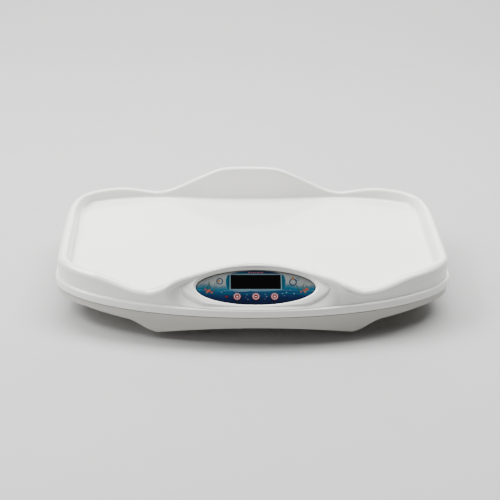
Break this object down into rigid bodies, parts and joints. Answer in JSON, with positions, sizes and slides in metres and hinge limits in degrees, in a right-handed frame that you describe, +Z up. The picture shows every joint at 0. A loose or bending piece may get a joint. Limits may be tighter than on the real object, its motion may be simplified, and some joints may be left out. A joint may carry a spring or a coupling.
{
  "type": "digital baby weighing scale",
  "caption": "Low baby weighing scale: a curved white tray with a tilted display and keys at the front, carried by a load cell over a shallow base.",
  "frame": {"origin": "middle of the footprint, on the surface the feet stand on", "axes": "+X to the user's right along the tray's length, +Y to the back hump, +Z up"},
  "size_m": [0.56, 0.337, 0.1195],
  "materials": {
    "tray_plastic": "glossy moulded white",
    "base_plastic": "satin moulded warm white",
    "fascia_film": "printed film, blue fading from pale grey",
    "smoked_window": "polished smoked plastic",
    "module_black": "matte black",
    "segment_red": "unlit diffused red",
    "board_green": "solder-masked board",
    "chip_black": "moulded chips and connectors",
    "lamp_red": "tinted lamp",
    "screw_steel": "zinc plated",
    "key_rubber": "soft matt caps",
    "plunger_white": "plain",
    "sheet_steel": "zinc plated sheet",
    "cell_aluminium": "machined",
    "sealant_white": "soft sealant",
    "foot_rubber": "matt rubber",
    "battery_sleeve": "shrink sleeve",
    "foam_grey": "foam",
    "switch_black": "matte black",
    "rocker_red": "glossy red",
    "lead_grey": "sheathed lead",
    "lead_black": "insulated wires",
    "lead_red": "insulated wires"
  },
  "bodies": {
    "base_unit": {"load_cell": "cell_aluminium", "gauge_cover": "sealant_white", "mount_spacer": "sheet_steel", "mount_plate": "sheet_steel", "mount_bolts": "screw_steel", "mount_screws": "screw_steel", "stop_screws": "screw_steel", "stop_nuts": "screw_steel", "base_shell": "base_plastic", "feet": "foot_rubber", "foot_screws": "screw_steel", "battery_pack": "battery_sleeve", "battery_pad": "foam_grey", "battery_door": "base_plastic", "door_screw": "screw_steel", "power_board": "board_green", "power_board_parts": "chip_black", "power_board_screws": "screw_steel", "switch_body": "switch_black", "charge_socket": "switch_black", "socket_nut": "screw_steel", "display_lead": "lead_black", "power_leads": "lead_red"},
    "tray_unit": {"tray": "tray_plastic", "fascia": "fascia_film", "window": "smoked_window", "digit_modules": "module_black", "digit_segments": "segment_red", "display_board": "board_green", "display_board_parts": "chip_black", "tact_switches": "chip_black", "charge_lamp": "lamp_red", "board_screws": "screw_steel", "carrier_frame": "sheet_steel", "frame_spacer": "sheet_steel", "frame_bolts": "screw_steel", "tray_screws": "screw_steel", "load_cell_lead": "lead_grey"},
    "key_left_unit": {"key_left": "key_rubber", "plunger_left": "plunger_white"},
    "key_middle_unit": {"key_middle": "key_rubber", "plunger_middle": "plunger_white"},
    "key_right_unit": {"key_right": "key_rubber", "plunger_right": "plunger_white"},
    "rocker_unit": {"rocker": "rocker_red"}
  },
  "joints": [
    {"name": "tray_weigh", "type": "slide", "parent": "base_unit", "child": "tray_unit", "axis": [0, 0, -1], "range_m": [0, 0.0005], "stiffness_N_per_m": 300000, "springref_m": -0.00006, "deforming": ["load_cell", "display_lead"]},
    {"name": "key_left_press", "type": "slide", "parent": "tray_unit", "child": "key_left_unit", "axis": [0, 0.6521, -0.7581], "range_m": [0, 0.0004], "stiffness_N_per_m": 2500, "springref_m": -0.0002},
    {"name": "key_middle_press", "type": "slide", "parent": "tray_unit", "child": "key_middle_unit", "axis": [0, 0.6521, -0.7581], "range_m": [0, 0.0004], "stiffness_N_per_m": 2500, "springref_m": -0.0002},
    {"name": "key_right_press", "type": "slide", "parent": "tray_unit", "child": "key_right_unit", "axis": [0, 0.6521, -0.7581], "range_m": [0, 0.0004], "stiffness_N_per_m": 2500, "springref_m": -0.0002},
    {"name": "power_rocker", "type": "hinge", "parent": "base_unit", "child": "rocker_unit", "pos_m": [0.06, 0.1575, 0.0324], "axis": [0, 0, 1], "range_deg": [-18, 0]}
  ]
}
